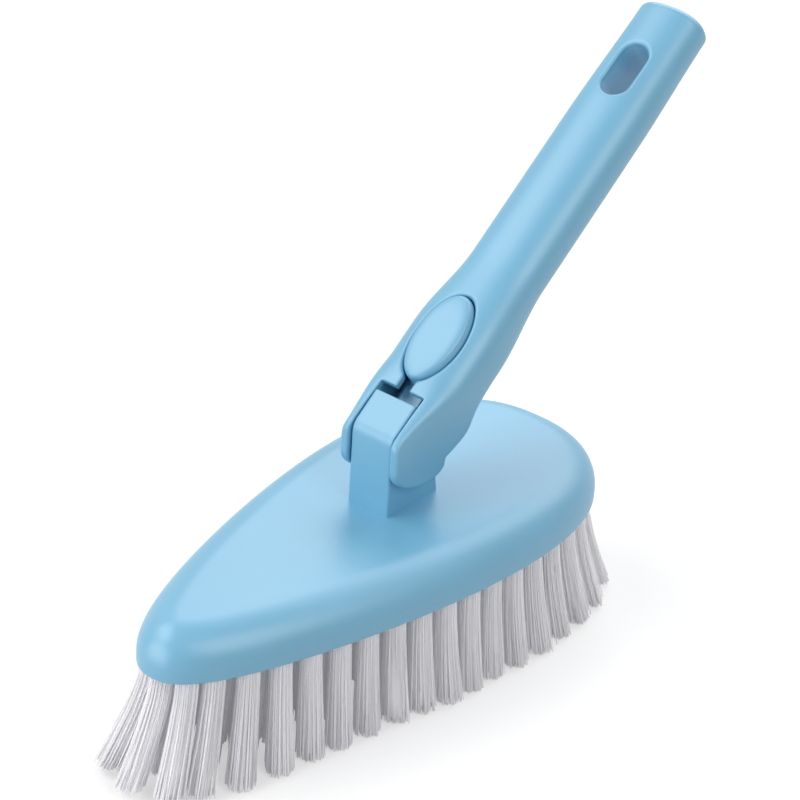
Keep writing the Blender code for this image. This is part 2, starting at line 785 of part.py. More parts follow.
def make_bristle_rows():
    places = row_places()
    pitch = places[1] - places[0]
    strands = 0
    for number, x in enumerate(places):
        low = -math.inf if number == 0 else x - pitch / 2
        high = math.inf if number == len(places) - 1 else x + pitch / 2
        name = f"bristle_row_{number + 1:02d}"
        row = add_object(name, slice_solid(low, high), (0.86, 0.85, 0.88), 0.5)
        solids = []
        for y in tufts_of_row(x):
            for strand in range(STRANDS_PER_TUFT):
                solids.append(strand_solid(x, y, strand))
        strands += len(solids)
        combine(row, "UNION", add_helper(name + "_strands", joined(solids)))
    print(f"{len(places)} rows, {strands // STRANDS_PER_TUFT} tufts, {strands} strands")


def main():
    for obj in list(bpy.data.objects):
        bpy.data.objects.remove(obj, do_unlink=True)
    make_head_block()
    make_handle()
    make_latch_lever()
    make_latch_spring()
    make_bristle_rows()


main()
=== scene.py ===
"""Looks of the floor tile brush: smooth moulded skins, fine bristle and a plain pale studio.

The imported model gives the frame. The moulded pieces are shown by skins with rounded edges, each row of
tufts by fine filaments, and the latch's spring by a round wire. Lengths are metres. X runs from toe to
heel, Y across the head, Z up, with the floor at the bristle tips.
"""

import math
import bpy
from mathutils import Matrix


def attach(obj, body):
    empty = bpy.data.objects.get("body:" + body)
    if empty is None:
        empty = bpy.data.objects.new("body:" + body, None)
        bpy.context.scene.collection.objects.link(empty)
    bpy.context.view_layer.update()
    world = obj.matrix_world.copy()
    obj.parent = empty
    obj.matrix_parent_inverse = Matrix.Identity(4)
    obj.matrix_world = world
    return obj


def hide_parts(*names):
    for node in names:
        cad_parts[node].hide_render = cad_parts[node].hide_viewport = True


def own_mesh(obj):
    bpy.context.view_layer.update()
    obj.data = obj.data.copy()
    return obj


bl_info = {
    "name": "Floor Tile Brush",
    "version": (1, 0, 0),
    "blender": (4, 5, 0),
    "location": "View3D > Sidebar > Tile Brush",
    "description": "Builds the visible surfaces of a hand brush for tiled floors, with its studio",
    "category": "Add Mesh",
}

import bpy
import numpy as np
from bpy.props import FloatProperty, FloatVectorProperty, IntProperty, PointerProperty
from mathutils import Matrix, Vector

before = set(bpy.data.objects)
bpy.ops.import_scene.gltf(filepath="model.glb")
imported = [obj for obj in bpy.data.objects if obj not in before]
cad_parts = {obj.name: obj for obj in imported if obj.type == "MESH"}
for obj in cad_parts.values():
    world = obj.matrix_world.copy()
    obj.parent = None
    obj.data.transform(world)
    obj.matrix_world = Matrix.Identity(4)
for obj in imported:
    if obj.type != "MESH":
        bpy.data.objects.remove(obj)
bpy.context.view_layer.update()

# Clearances between the pieces
GAP = 0.0003
PIVOT_GAP = 0.00035
PAD_GAP = 0.0006

# Head block: its outline, its rounded top and the post on it
HEAD_LENGTH = 0.220
HEAD_WIDTH = 0.0985
HEAD_FULLNESS = 0.865
HEAD_TAPER = 0.374
HEAD_THICKNESS = 0.0178
HEAD_ROUNDING = 0.0145
BRISTLE_LENGTH = 0.0435
HEAD_TOP = BRISTLE_LENGTH + HEAD_THICKNESS
RIM_EDGE_ROUNDING = 0.0007
UNDERSIDE_INSET, TOP_INSET, MIDDLE_LINE_SHARE = 0.0024, 0.0185, 0.97
OUTLINE_STEPS, OUTLINE_END_ANGLE = 256, 1e-3
POST_FRONT_X = 0.0014
POST_LENGTH = 0.0300
POST_HALF_WIDTH = 0.0090
POST_GAP_SHARE = 0.7
POST_FOOT_DEPTH = 0.0030

# Line of the handle, from its foot on the head
HANDLE_FOOT = np.array([-0.0154, 0.0, HEAD_TOP])
HANDLE_LEAN = math.radians(37.73)
HANDLE_LENGTH = 0.2340
ALONG = np.array([math.cos(HANDLE_LEAN), 0.0, math.sin(HANDLE_LEAN)])
ACROSS = np.array([0.0, 1.0, 0.0])
OUT = np.array([-math.sin(HANDLE_LEAN), 0.0, math.cos(HANDLE_LEAN)])
HANDLE_FRAME = np.array([ALONG, ACROSS, OUT])

# Sections of the handle as (half-width, reach in front, reach behind, squareness), and its trimming
FORK = (0.0134, 0.0155, 0.0124, 9.0)
SHOULDER = (0.0180, 0.0141, 0.0124, 2.9)
GRIP = (0.0153, 0.0118, 0.0121, 2.3)
FORK_PLACE, SHOULDER_PLACE, SHOULDER_END, GRIP_START = 0.030, 0.066, 0.080, 0.115
FORK_REACH = 0.0260
GRIP_NARROWING, GRIP_NARROWING_LENGTH = 0.07, 0.054
POST_BACK_SLOPE = 0.0045
FORK_SET_FORWARD = 0.0014
FRONT_BEND = 0.0030
EAR_BOTTOM_PLACE, EAR_CLEARANCE = 0.0170, 0.0092
EAR_FRONT_START, EAR_BACK_START = 0.0200, 0.0146
HANDLE_END_ROUNDING, FORK_ROUNDING = 0.0028, 0.0011
WELL_OUTSIDE = 0.06

# Tongue of the head, and the openings of the handle that it shows through
TONGUE_FRONT, TONGUE_TOP, TONGUE_BACK = 0.0148, 0.0037, 0.0080
FORK_GAP_END, TONGUE_FRONT_END, TONGUE_END = 0.0420, 0.0487, 0.0635
TONGUE_HALF_WIDTH = 0.0070
SLOT_HALF_WIDTH, SLOT_END, SLOT_STEM_HALF_WIDTH = 0.0098, 0.0525, 0.0030
CAVITY_HALF_WIDTH, CAVITY_FRONT, CAVITY_DEPTH, CAVITY_PAST_WINDOW = 0.0104, 0.0112, 0.0010, 0.0010

# Latch lever and its spring
PAD_CENTRE, PAD_LENGTH, PAD_WIDTH, PAD_WALL_WIDENING = 0.0758, 0.0366, 0.0188, 1.045
PAD_TOP, PAD_DOME, PAD_DOME_SHARE, PAD_DOME_ROUNDNESS = 0.0158, 0.0014, 0.42, 0.98
PAD_TOP_ROUNDING, PAD_BACK_ROUNDING, PAD_FILLET = 0.0018, 0.0003, 0.0004
LEVER_BACK, LEVER_FRONT, LEVER_HALF_WIDTH = 0.0050, 0.0064, 0.0045
HOOK_PLACE, HOOK_LENGTH, HOOK_REACH, HOOK_SET_BACK = 0.0502, 0.0038, 0.0014, 0.0010
NOTCH_DEPTH, NOTCH_RELIEF = 0.0021, 0.0006
PIVOT_PLACE, PIVOT_HEIGHT, PIVOT_RADIUS, PIVOT_HALF_LENGTH = 0.0640, 0.0066, 0.0020, 0.0129
SPRING_PLACE, SPRING_RADIUS, SPRING_WIRE, SPRING_TURNS = 0.0850, 0.0031, 0.0004, 5
SPRING_CUP_RADIUS, SPRING_CUP_DEPTH, SPRING_PRESSED_SHARE = 0.0042, 0.0012, 0.67

# Hang hole
HOLE_PLACE, HOLE_LENGTH, HOLE_WIDTH, HOLE_ROUNDING = 0.2022, 0.0236, 0.0118, 0.0016

# Rows of tufts
ROW_COUNT = 19
ROW_END_INSET, TUFT_INSET = 0.0070, 0.0065
TUFT_PITCH, TUFT_LEAST_PITCH = 0.0120, 0.0076
TOE_PAIR_Y, TOE_PAIR_BACK = 0.0080, 0.0036
LEAN_SIDE, LEAN_TOE, LEAN_HEEL = 0.0052, 0.0195, 0.0130
LEAN_TOE_GROWTH, LEAN_HEEL_GROWTH = 2.6, 1.7
LEAN_TOE_CORNER, LEAN_HEEL_CORNER, LEAN_CORNER_GROWTH = 0.0250, 0.0110, 1.5
TRIM = 0.0005

# Filaments: how they start in the block, bend, thin out and stray
ROOT_DEPTH, BEND_POWER, TIP_THINNING = 0.0009, 1.4, 0.25
SPREAD_RANGE, THICKNESS_RANGE = (0.7, 1.2), (0.85, 1.1)
TUFT_WANDER, FILAMENT_WANDER = 0.00048, 0.00036
STRAY_SHARE, STRAY_WANDER = 0.012, 0.0022
TIP_CROWN = 0.8

# Inner part of a tuft, down from its root: the places of its rings and their share of the tuft's radius
CORE_PLACES = np.array([0.0, 0.25, 0.5, 0.75, 0.92, 0.93])
CORE_SHARES = np.array([0.93, 0.93, 0.93, 0.91, 0.75, 0.2])

# Boxes round the skins, as the range of each direction, and how many skin cells a step of their grid is
POST_BOX = ((-0.008, 0.042), (-0.0150, 0.0150), (HEAD_TOP - 0.005, 0.1035))
HANDLE_BOX = ((0.004, HANDLE_LENGTH + 0.003), (-0.0200, 0.0200), (-0.0400, 0.0180))
LATCH_BOX = (
    (HOOK_PLACE - 0.002, PAD_CENTRE + PAD_LENGTH / 2 + 0.002),
    (-0.0145, 0.0145),
    (0.0005, PAD_TOP + 0.002),
)
HANDLE_CELLS, LATCH_CELLS = 1.12, 0.7

# Studio: each lamp as (name, place, size, power), all aimed at one point, and the camera
LAMP_AIM = (0.04, 0.0, 0.08)
LAMPS = (
    ("key_lamp", (-0.46, 0.62, 1.10), (1.1, 0.7), 8.0),
    ("low_lamp", (-1.16, 0.36, 0.36), (1.2, 0.8), 8.5),
    ("back_lamp", (0.99, 0.20, 1.00), (1.7, 0.95), 12.5),
    ("front_lamp", (-0.14, -1.01, 0.88), (0.8, 0.8), 6.2),
)
WORLD_LIGHT, FLOOR_LIFT, FLOOR_REACH = 0.1, 0.45, 3.0
CAMERA_AZIMUTH, CAMERA_ELEVATION, CAMERA_ROLL = np.radians([-51.967, 29.559, 3.782])
CAMERA_TARGET, CAMERA_DISTANCE = np.array([0.04131, 0.01954, 0.08250]), 1.0
CAMERA_LENS, CAMERA_SENSOR = 121.33, 36.0


class BrushSizes(bpy.types.PropertyGroup):
    """Sizes of the fine detail that the frame leaves open."""

    edge_rounding: FloatProperty(
        name="Edge rounding",
        description="Radius of the moulded edges round the latch and the fork",
        default=0.0006,
        min=0.0001,
        max=0.002,
        unit="LENGTH",
    )
    skin_cell: FloatProperty(
        name="Skin cell",
        description="Spacing of the grid on which the moulded skins are found",
        default=0.0005,
        min=0.0003,
        max=0.002,
        unit="LENGTH",
    )
    filament_radius: FloatProperty(
        name="Filament radius",
        description="Radius of one bristle filament at its root",
        default=0.00033,
        min=0.0001,
        max=0.0006,
        unit="LENGTH",
    )
    tuft_radius: FloatProperty(
        name="Tuft radius",
        description="Radius of a tuft where it leaves the head",
        default=0.0038,
        min=0.001,
        max=0.005,
        unit="LENGTH",
    )
    tuft_spread: FloatProperty(
        name="Tuft spread",
        description="How much further out the rim of a tuft stands at its tips",
        default=0.0014,
        min=0.0,
        max=0.004,
        unit="LENGTH",
    )
    tip_unevenness: FloatProperty(
        name="Tip unevenness",
        description="How much the lengths of neighbouring filaments differ",
        default=0.0012,
        min=0.0,
        max=0.004,
        unit="LENGTH",
    )
    filaments: IntProperty(
        name="Filaments",
        description="Number of filaments in one tuft",
        default=165,
        min=10,
        max=240,
    )


class BrushColours(bpy.types.PropertyGroup):
    """Colours of the finishes, as linear values."""

    plastic: FloatVectorProperty(
        name="Plastic",
        description="Colour of the moulded head, handle and latch",
        subtype="COLOR",
        size=3,
        default=(0.16, 0.43, 0.625),
        min=0.0,
        max=1.0,
    )
    bristle: FloatVectorProperty(
        name="Bristle",
        description="Colour of the filaments",
        subtype="COLOR",
        size=3,
        default=(0.95, 0.945, 0.985),
        min=0.0,
        max=1.0,
    )
    floor: FloatVectorProperty(
        name="Floor",
        description="Colour of the studio floor",
        subtype="COLOR",
        size=3,
        default=(0.6, 0.6, 0.6),
        min=0.0,
        max=1.0,
    )


def sizes():
    """The sizes that the panel shows."""
    return bpy.context.scene.brush_sizes


def colours():
    """The colours that the panel shows."""
    return bpy.context.scene.brush_colours


# Distance functions: negative inside a shape, zero on its surface, for whole arrays of points


def rounded_max(a, b, radius):
    """The shape common to a and b, with their shared edge rounded to a circular arc of this radius."""
    outside = np.hypot(np.maximum(a + radius, 0.0), np.maximum(b + radius, 0.0))
    return np.minimum(np.maximum(a, b), -radius) + outside


def rounded_min(a, b, radius):
    """The shape that holds both a and b, with a hollow fillet of this radius where they meet."""
    return -rounded_max(-a, -b, radius)


def between(value, low, high):
    """Distance outside the layer from low to high."""
    return np.abs(value - (low + high) / 2) - (high - low) / 2


def block(first, second, third):
    """A block from three layers, with square edges."""
    return np.maximum(np.maximum(first, second), third)


def oval(u, v, length, width):
    """Distance from an ellipse of these two diameters, measured along the ray from its centre."""
    reach = np.hypot(2 * u / length, 2 * v / width)
    return np.hypot(u, v) * (1 - 1 / np.maximum(reach, 1e-9)) - (reach < 1e-9) * width / 2


def stadium(u, v, length, width):
    """Distance from a slot with round ends: from its middle line, less half its width."""
    return np.hypot(np.maximum(np.abs(u) - (length - width) / 2, 0.0), v) - width / 2


def polygon(u, v, corners):
    """Distance from a closed polygon: to its nearest side, with the sign from how often a ray crosses it."""
    corners = np.asarray(corners)
    nearest = np.full(np.broadcast(u, v).shape, np.inf)
    crossings = np.zeros(nearest.shape, dtype=bool)
    for start, end in zip(corners, np.roll(corners, -1, axis=0)):
        side = end - start
        share = ((u - start[0]) * side[0] + (v - start[1]) * side[1]) / (side @ side)
        share = np.clip(share, 0.0, 1.0)
        distance = np.hypot(u - start[0] - share * side[0], v - start[1] - share * side[1])
        nearest = np.minimum(nearest, distance)
        spans = (start[1] > v) != (end[1] > v)
        if side[1] != 0.0:
            crossings ^= spans & (u < start[0] + (v - start[1]) / side[1] * side[0])
    return np.where(crossings, -nearest, nearest)


def blend(value, start, end):
    """Rises smoothly from 0 at start to 1 at end: three times the square less twice the cube."""
    share = np.clip((value - start) / (end - start), 0.0, 1.0)
    return share * share * (3.0 - 2.0 * share)


# Meshes


def grid_steps(low, high, cell):
    """Evenly spaced grid values from low to high, at most a cell apart."""
    return np.linspace(low, high, max(int(math.ceil((high - low) / cell)), 1) + 1)


def surface_grid(field, axes):
    """Points and quads of the surface where the field is zero, found on a grid.

    Each grid edge whose ends lie on different sides gives one quad between the four cells round it,
    and each such cell one point, at the mean of the places where its edges cross the surface.
    """
    u, v, w = axes
    values = field(u[:, None, None], v[None, :, None], w[None, None, :])
    values = np.broadcast_to(values, (len(u), len(v), len(w)))
    cells = np.array(values.shape) - 1
    quads, crossings = [], []
    for axis in range(3):
        lower = [slice(None)] * 3
        upper = [slice(None)] * 3
        lower[axis] = slice(0, -1)
        upper[axis] = slice(1, None)
        a, b = values[tuple(lower)], values[tuple(upper)]
        edge = np.argwhere((a < 0) != (b < 0))
        va, vb = a[tuple(edge.T)], b[tuple(edge.T)]
        point = np.stack([axes[k][edge[:, k]] for k in range(3)], axis=1)
        step = axes[axis][edge[:, axis] + 1] - axes[axis][edge[:, axis]]
        point[:, axis] += va / (va - vb) * step
        around = []
        for before_p, before_q in ((1, 1), (0, 1), (0, 0), (1, 0)):
            cell = edge.copy()
            cell[:, (axis + 1) % 3] -= before_p
            cell[:, (axis + 2) % 3] -= before_q
            around.append(np.ravel_multi_index(cell.T, cells))
        around = np.stack(around, axis=1)
        quads.append(np.where((va < 0)[:, None], around, around[:, ::-1]))
        crossings.append(np.repeat(point, 4, axis=0))
    quads = np.concatenate(quads)
    crossings = np.concatenate(crossings)
    _, index = np.unique(quads.ravel(), return_inverse=True)
    return mean_by_index(crossings, index), index.reshape(-1, 4)


def mean_by_index(points, index):
    """The mean of all the points that carry the same index."""
    count = np.bincount(index)
    return np.stack([np.bincount(index, weights=points[:, k]) / count for k in range(3)], axis=1)


def settle(points, field, reach):
    """Moves points onto the surface: each goes along the field's slope by its value over that slope."""
    nudge = 2e-6
    for _ in range(3):
        value = field(*points.T)
        slope = np.empty_like(points)
        for k in range(3):
            ahead, behind = points.copy(), points.copy()
            ahead[:, k] += nudge
            behind[:, k] -= nudge
            slope[:, k] = (field(*ahead.T) - field(*behind.T)) / (2 * nudge)
        steepness = np.maximum((slope**2).sum(axis=1), 0.05)
        move = slope * (value / steepness)[:, None]
        length = np.linalg.norm(move, axis=1)
        move *= np.minimum(1.0, reach / np.maximum(length, 1e-12))[:, None]
        points = points - move
    return points


def skin(name, field, box, cell, directions=np.eye(3), origin=np.zeros(3)):
    """A mesh object of the field's surface in this box; the field's directions are the rows of directions.

    The grid's points settle on the surface. Then each moves halfway to the mean of the middles of its
    faces and settles again, twice, which evens out the faces.
    """
    axes = [grid_steps(low, high, cell) for low, high in box]
    points, quads = surface_grid(field, axes)
    reach = min(float(np.diff(axis).min()) for axis in axes)
    points = settle(points, field, reach)
    for _ in range(2):
        middle = np.repeat(points[quads].mean(axis=1), 4, axis=0)
        points = settle((points + mean_by_index(middle, quads.ravel())) / 2, field, reach)
    return mesh_object(name, points @ directions + origin, quads)


def mesh_object(name, points, faces, smooth=True):
    """A mesh object from an array of points and an array of faces with equally many corners each."""
    mesh = bpy.data.meshes.new(name)
    count, corners = faces.shape
    mesh.vertices.add(len(points))
    mesh.vertices.foreach_set("co", np.ascontiguousarray(points, dtype=np.float32).ravel())
    mesh.loops.add(count * corners)
    mesh.loops.foreach_set("vertex_index", np.ascontiguousarray(faces, dtype=np.int32).ravel())
    mesh.polygons.add(count)
    mesh.polygons.foreach_set("loop_start", np.arange(0, count * corners, corners, dtype=np.int32))
    mesh.polygons.foreach_set("use_smooth", np.full(count, smooth))
    mesh.update(calc_edges=True)
    mesh.validate()
    obj = bpy.data.objects.new(name, mesh)
    bpy.context.scene.collection.objects.link(obj)
    return obj


def tube_faces(rings, sides):
    """Quads between consecutive rings of a tube, as indices into ring-by-ring points."""
    ring = np.arange(rings - 1)[:, None] * sides
    side = np.arange(sides)[None, :]
    after = (side + 1) % sides
    corners = [ring + side, ring + after, ring + sides + after, ring + sides + side]
    return np.stack(corners, axis=2).reshape(-1, 4)


def level_circles(centre_x, centre_y, z, radius, turn):
    """Points of level circles: the centre plus the radius times the cosine and sine of each turn."""
    x = centre_x[..., None] + radius[..., None] * np.cos(turn)
    y = centre_y[..., None] + radius[..., None] * np.sin(turn)
    return np.stack([x, y, np.broadcast_to(z[..., None], x.shape)], axis=-1).reshape(-1, 3)


def repeated(faces, copies, points_each):
    """The faces of one piece, for that many equal pieces whose points follow one another."""
    starts = np.arange(copies)[:, None, None] * points_each
    return (faces[None] + starts).reshape(-1, 4)


# Materials


class Socket:
    """Wraps a node's output so that an expression on it adds Math nodes."""

    def __init__(self, maker, output):
        self.maker = maker
        self.output = output

    def _math(self, operation, other):
        return self.maker.node("ShaderNodeMath", {"operation": operation}, {0: self, 1: other})

    def __add__(self, other):
        return self._math("ADD", other)

    def __mul__(self, other):
        return self._math("MULTIPLY", other)

    __radd__ = __add__
    __rmul__ = __mul__


class Nodes:
    """A node tree under construction, with one method that adds any node."""

    def __init__(self, tree):
        self.tree = tree

    def node(self, kind, settings=None, inputs=None, output=0):
        """Adds a node: its settings come first, then the values or links of its sockets."""
        made = self.tree.nodes.new(kind)
        for key, value in (settings or {}).items():
            setattr(made, key, value)
        for key, value in (inputs or {}).items():
            self.feed(made.inputs[key], value)
        return Socket(self, made.outputs[output])

    def feed(self, socket, value):
        """Links a socket to a wrapped output, or gives it a plain value."""
        if isinstance(value, Socket):
            self.tree.links.new(value.output, socket)
        else:
            socket.default_value = value

    def seen_directly(self):
        """1 where the camera, a reflection or glass sees the surface, and 0 where it only gives light."""
        camera = self.node("ShaderNodeLightPath", output="Is Camera Ray")
        glossy = self.node("ShaderNodeLightPath", output="Is Glossy Ray")
        through = self.node("ShaderNodeLightPath", output="Is Transmission Ray")
        return self.node("ShaderNodeMath", {"operation": "MINIMUM"}, {0: camera + glossy + through, 1: 1.0})


class Finish(Nodes):
    """A material under construction, with its Principled shader."""

    def __init__(self, name):
        self.material = bpy.data.materials.new(name)
        self.material.use_nodes = True
        super().__init__(self.material.node_tree)
        self.shader = self.tree.nodes["Principled BSDF"]

    def set(self, **values):
        """Sets the shader's sockets; a name's underscores stand for spaces."""
        for key, value in values.items():
            self.feed(self.shader.inputs[key.replace("_", " ")], value)

    def noise(self, scale, detail):
        """Noise of this many cells a metre over the piece's own coordinates, from 0 to 1."""
        place = self.node("ShaderNodeTexCoord", output="Object")
        return self.node("ShaderNodeTexNoise", inputs={"Vector": place, "Scale": scale, "Detail": detail})

    def mix(self, factor, first, second):
        """A colour between two others."""
        return self.node("ShaderNodeMix", {"data_type": "RGBA"}, {0: factor, 6: first, 7: second}, output=2)


def moulded_plastic(name, colour):
    """Satin moulded plastic: faint clouding of the colour and gloss, and a fine even grain."""
    finish = Finish(name)
    cloud = finish.noise(38.0, detail=3.0)
    grain = finish.noise(2600.0, detail=2.0)
    pale = tuple(min(c * 1.05, 1.0) for c in colour) + (1.0,)
    deep = tuple(c * 0.95 for c in colour) + (1.0,)
    bump = finish.node("ShaderNodeBump", inputs={"Strength": 0.06, "Distance": 0.0002, "Height": grain})
    finish.set(
        Base_Color=finish.mix(cloud, deep, pale),
        Roughness=cloud * 0.08 + 0.36,
        Normal=bump,
        IOR=1.5,
        Specular_IOR_Level=0.95,
    )
    return finish.material


def bristle_filament(name, colour):
    """White synthetic filament: slightly translucent, with small differences from one to the next, and a
    faint painted glow that stands in for light scattered through the tufts.
    """
    finish = Finish(name)
    strand = finish.noise(900.0, detail=1.0)
    pale = tuple(colour) + (1.0,)
    grey = tuple(c * 0.92 for c in colour) + (1.0,)
    finish.set(
        Base_Color=finish.mix(strand, grey, pale),
        Roughness=0.36,
        IOR=1.5,
        Subsurface_Weight=0.6,
        Subsurface_Radius=(1.0, 1.0, 1.0),
        Subsurface_Scale=0.002,
        # Painted glow: a faint white emission that stands in for light scattered between and through the
        # filaments
        Emission_Color=(1.0, 0.99, 1.0, 1.0),
        Emission_Strength=0.04,
    )
    return finish.material


def spring_wire(name):
    """Bright drawn wire with fine streaks in its gloss."""
    finish = Finish(name)
    streak = finish.noise(4000.0, detail=1.0)
    finish.set(
        Base_Color=(0.62, 0.62, 0.62, 1.0),
        Metallic=1.0,
        Roughness=streak * 0.15 + 0.22,
    )
    return finish.material


def dress(obj, material, body, slot, *nodes):
    """Gives a piece its material and the body that it rides on, and hides the imported nodes that it stands
    for. The slot is not used.
    """
    obj.data.materials.clear()
    obj.data.materials.append(material)
    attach(obj, body)
    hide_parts(*nodes)


def shared_plastic():
    """The one plastic of head, handle and latch, made when it is first asked for."""
    name = "light_blue_plastic"
    return bpy.data.materials.get(name) or moulded_plastic(name, tuple(colours().plastic))


# Outline of the head


def taper_shape(t):
    """Half-width at t, -1 at the toe and 1 at the heel: a power of 1 - t squared, times exp of taper t."""
    return np.maximum(1.0 - t * t, 0.0) ** (HEAD_FULLNESS / 2) * np.exp(HEAD_TAPER * t)


def outline(angle, inset=0.0):
    """The head's outline at these angles, the toe at 0 and the heel at pi, moved straight in by inset."""
    root = math.sqrt(HEAD_FULLNESS**2 + 4 * HEAD_TAPER**2)
    broadest = (root - HEAD_FULLNESS) / (2 * HEAD_TAPER)
    t = -np.cos(angle)
    y = HEAD_WIDTH / 2 * taper_shape(t) / taper_shape(broadest)
    inner = np.maximum(1.0 - t * t, 1e-9)
    slope = y * (HEAD_TAPER - HEAD_FULLNESS * t / inner) / (HEAD_LENGTH / 2)
    steepness = np.hypot(1.0, slope)
    return t * HEAD_LENGTH / 2 + inset * slope / steepness, y - inset / steepness


def half_width_at(x, inset=0.0):
    """Half the head's width at each x, that far inside the outline, read off a fine list of its points."""
    px, py = outline(np.linspace(OUTLINE_END_ANGLE, math.pi - OUTLINE_END_ANGLE, 4001), inset)
    order = np.argsort(px)
    return np.maximum(np.interp(x, px[order], py[order]), 0.0)


# Head


def head_plate():
    """The oval block: its profile is carried round the outline, from the underside over the rim to the top.

    The profile is a list of (inset, height) pairs: a small arc at the lower edge, the upright rim, and a
    quarter circle up to the flat top. It ends below and above on the middle line of the block.
    """
    rim = HEAD_THICKNESS - HEAD_ROUNDING
    arc = np.linspace(0.0, math.pi / 2, 6)
    low_insets, low_heights = RIM_EDGE_ROUNDING * (1 - np.sin(arc)), RIM_EDGE_ROUNDING * (1 - np.cos(arc))
    arc = np.linspace(0.0, math.pi / 2, 40)
    top_insets, top_heights = HEAD_ROUNDING * (1 - np.cos(arc)), rim + HEAD_ROUNDING * np.sin(arc)
    insets = np.concatenate([[UNDERSIDE_INSET], low_insets, top_insets, [TOP_INSET]])
    heights = np.concatenate([[0.0], low_heights, top_heights, [HEAD_THICKNESS]])
    steps = np.linspace(0.0, math.pi, OUTLINE_STEPS + 1)
    loops = [outline_loop(steps, inset, height) for inset, height in zip(insets, heights)]
    middle_low, middle_top = loops[0].copy(), loops[-1].copy()
    for middle in (middle_low, middle_top):
        middle[:, 0] *= MIDDLE_LINE_SHARE
        middle[:, 1] = 0.0
    loops = [middle_low, *loops, middle_top]
    sides = len(loops[0])
    faces = tube_faces(len(loops), sides)[:, ::-1]
    # On the two middle lines, each point of one half is the point opposite it on the other half
    index = np.arange(len(loops) * sides)
    opposite = np.minimum(np.arange(sides), (sides - np.arange(sides)) % sides)
    index[:sides] = opposite
    index[-sides:] = (len(loops) - 1) * sides + opposite
    used, faces = np.unique(index[faces], return_inverse=True)
    return np.concatenate(loops)[used], faces.reshape(-1, 4)


def outline_loop(steps, inset, height):
    """The outline moved in by inset, as a closed loop at this height: evenly stepped, toe first.

    A point is inside where it lies at least inset within every tangent line of the outline, so the
    half-width at x is the least that any of those lines allows.
    """
    angle = np.linspace(OUTLINE_END_ANGLE, math.pi - OUTLINE_END_ANGLE, 2001)
    px, py = outline(angle)
    inner_x, inner_y = outline(angle, 1.0)
    normal_x, normal_y = px - inner_x, py - inner_y
    reach = px * normal_x + py * normal_y - inset
    toe = np.max(reach[normal_x < 0] / normal_x[normal_x < 0])
    heel = np.min(reach[normal_x > 0] / normal_x[normal_x > 0])
    x = (toe + heel) / 2 - (heel - toe) / 2 * np.cos(steps)
    y = np.maximum(np.min((reach - normal_x * x[:, None]) / normal_y, axis=1), 0.0)
    y[0] = y[-1] = 0.0
    x = np.concatenate([x, x[-2:0:-1]])
    y = np.concatenate([y, -y[-2:0:-1]])
    return np.stack([x, y, np.full_like(x, BRISTLE_LENGTH + height)], axis=1)


def fork_seat():
    """Where the back wall of the handle ends, along its line."""
    x = POST_FRONT_X + POST_LENGTH - POST_BACK_SLOPE
    return (x - HANDLE_FOOT[0] + OUT[0] * SHOULDER[2]) / ALONG[0]


def front_bend(x, height, steps=10):
    """Side view of the soft bend from an upright front at x to a front along the handle's line.

    A parabola through its two ends that points at the corner between them, as (place, height) points.
    """
    corner = np.array([(x - HANDLE_FOOT[0] - OUT[0] * height) / ALONG[0], height])
    down = -np.array([ALONG[2], OUT[2]])
    share = np.linspace(0.0, 1.0, steps + 1)[:, None]
    ahead = np.array([1.0, 0.0])
    return corner + FRONT_BEND * ((1 - share) ** 2 * down + share**2 * ahead)


def post_corners():
    """Side view of the post and the tongue's lower end, as (x, z) points."""
    slanted = [
        *front_bend(POST_FRONT_X, TONGUE_FRONT),
        (TONGUE_FRONT_END - GAP, TONGUE_FRONT),
        (TONGUE_FRONT_END - GAP, -TONGUE_BACK),
        (fork_seat(), -TONGUE_BACK),
        (fork_seat(), -SHOULDER[2]),
    ]
    points = [HANDLE_FOOT + ALONG * place + OUT * height for place, height in slanted]
    foot = BRISTLE_LENGTH + HEAD_THICKNESS / 2
    return [(POST_FRONT_X, foot), *((x, z) for x, _, z in points), (POST_FRONT_X + POST_LENGTH, foot)]


def post_field(x, y, z):
    """The post and the tongue, down to a little under the block's top."""
    s = (x - HANDLE_FOOT[0]) * ALONG[0] + (z - HANDLE_FOOT[2]) * ALONG[2]
    n = (x - HANDLE_FOOT[0]) * OUT[0] + (z - HANDLE_FOOT[2]) * OUT[2]
    side = np.abs(y) - POST_HALF_WIDTH - POST_GAP_SHARE * GAP
    post = rounded_max(polygon(x, z, post_corners()), side, sizes().edge_rounding)
    tongue = block(
        between(s, fork_seat() - POST_LENGTH / 4, TONGUE_END),
        between(n, GAP - TONGUE_BACK, TONGUE_TOP),
        np.abs(y) - TONGUE_HALF_WIDTH,
    )
    notch = block(
        between(s, HOOK_PLACE - NOTCH_RELIEF, HOOK_PLACE + HOOK_LENGTH + GAP),
        n * -1 + TONGUE_TOP - NOTCH_DEPTH,
        np.abs(y) - LEVER_HALF_WIDTH - GAP,
    )
    solid = np.maximum(np.minimum(post, tongue), -notch)
    return np.maximum(solid, HEAD_TOP - POST_FOOT_DEPTH - z)


# Handle


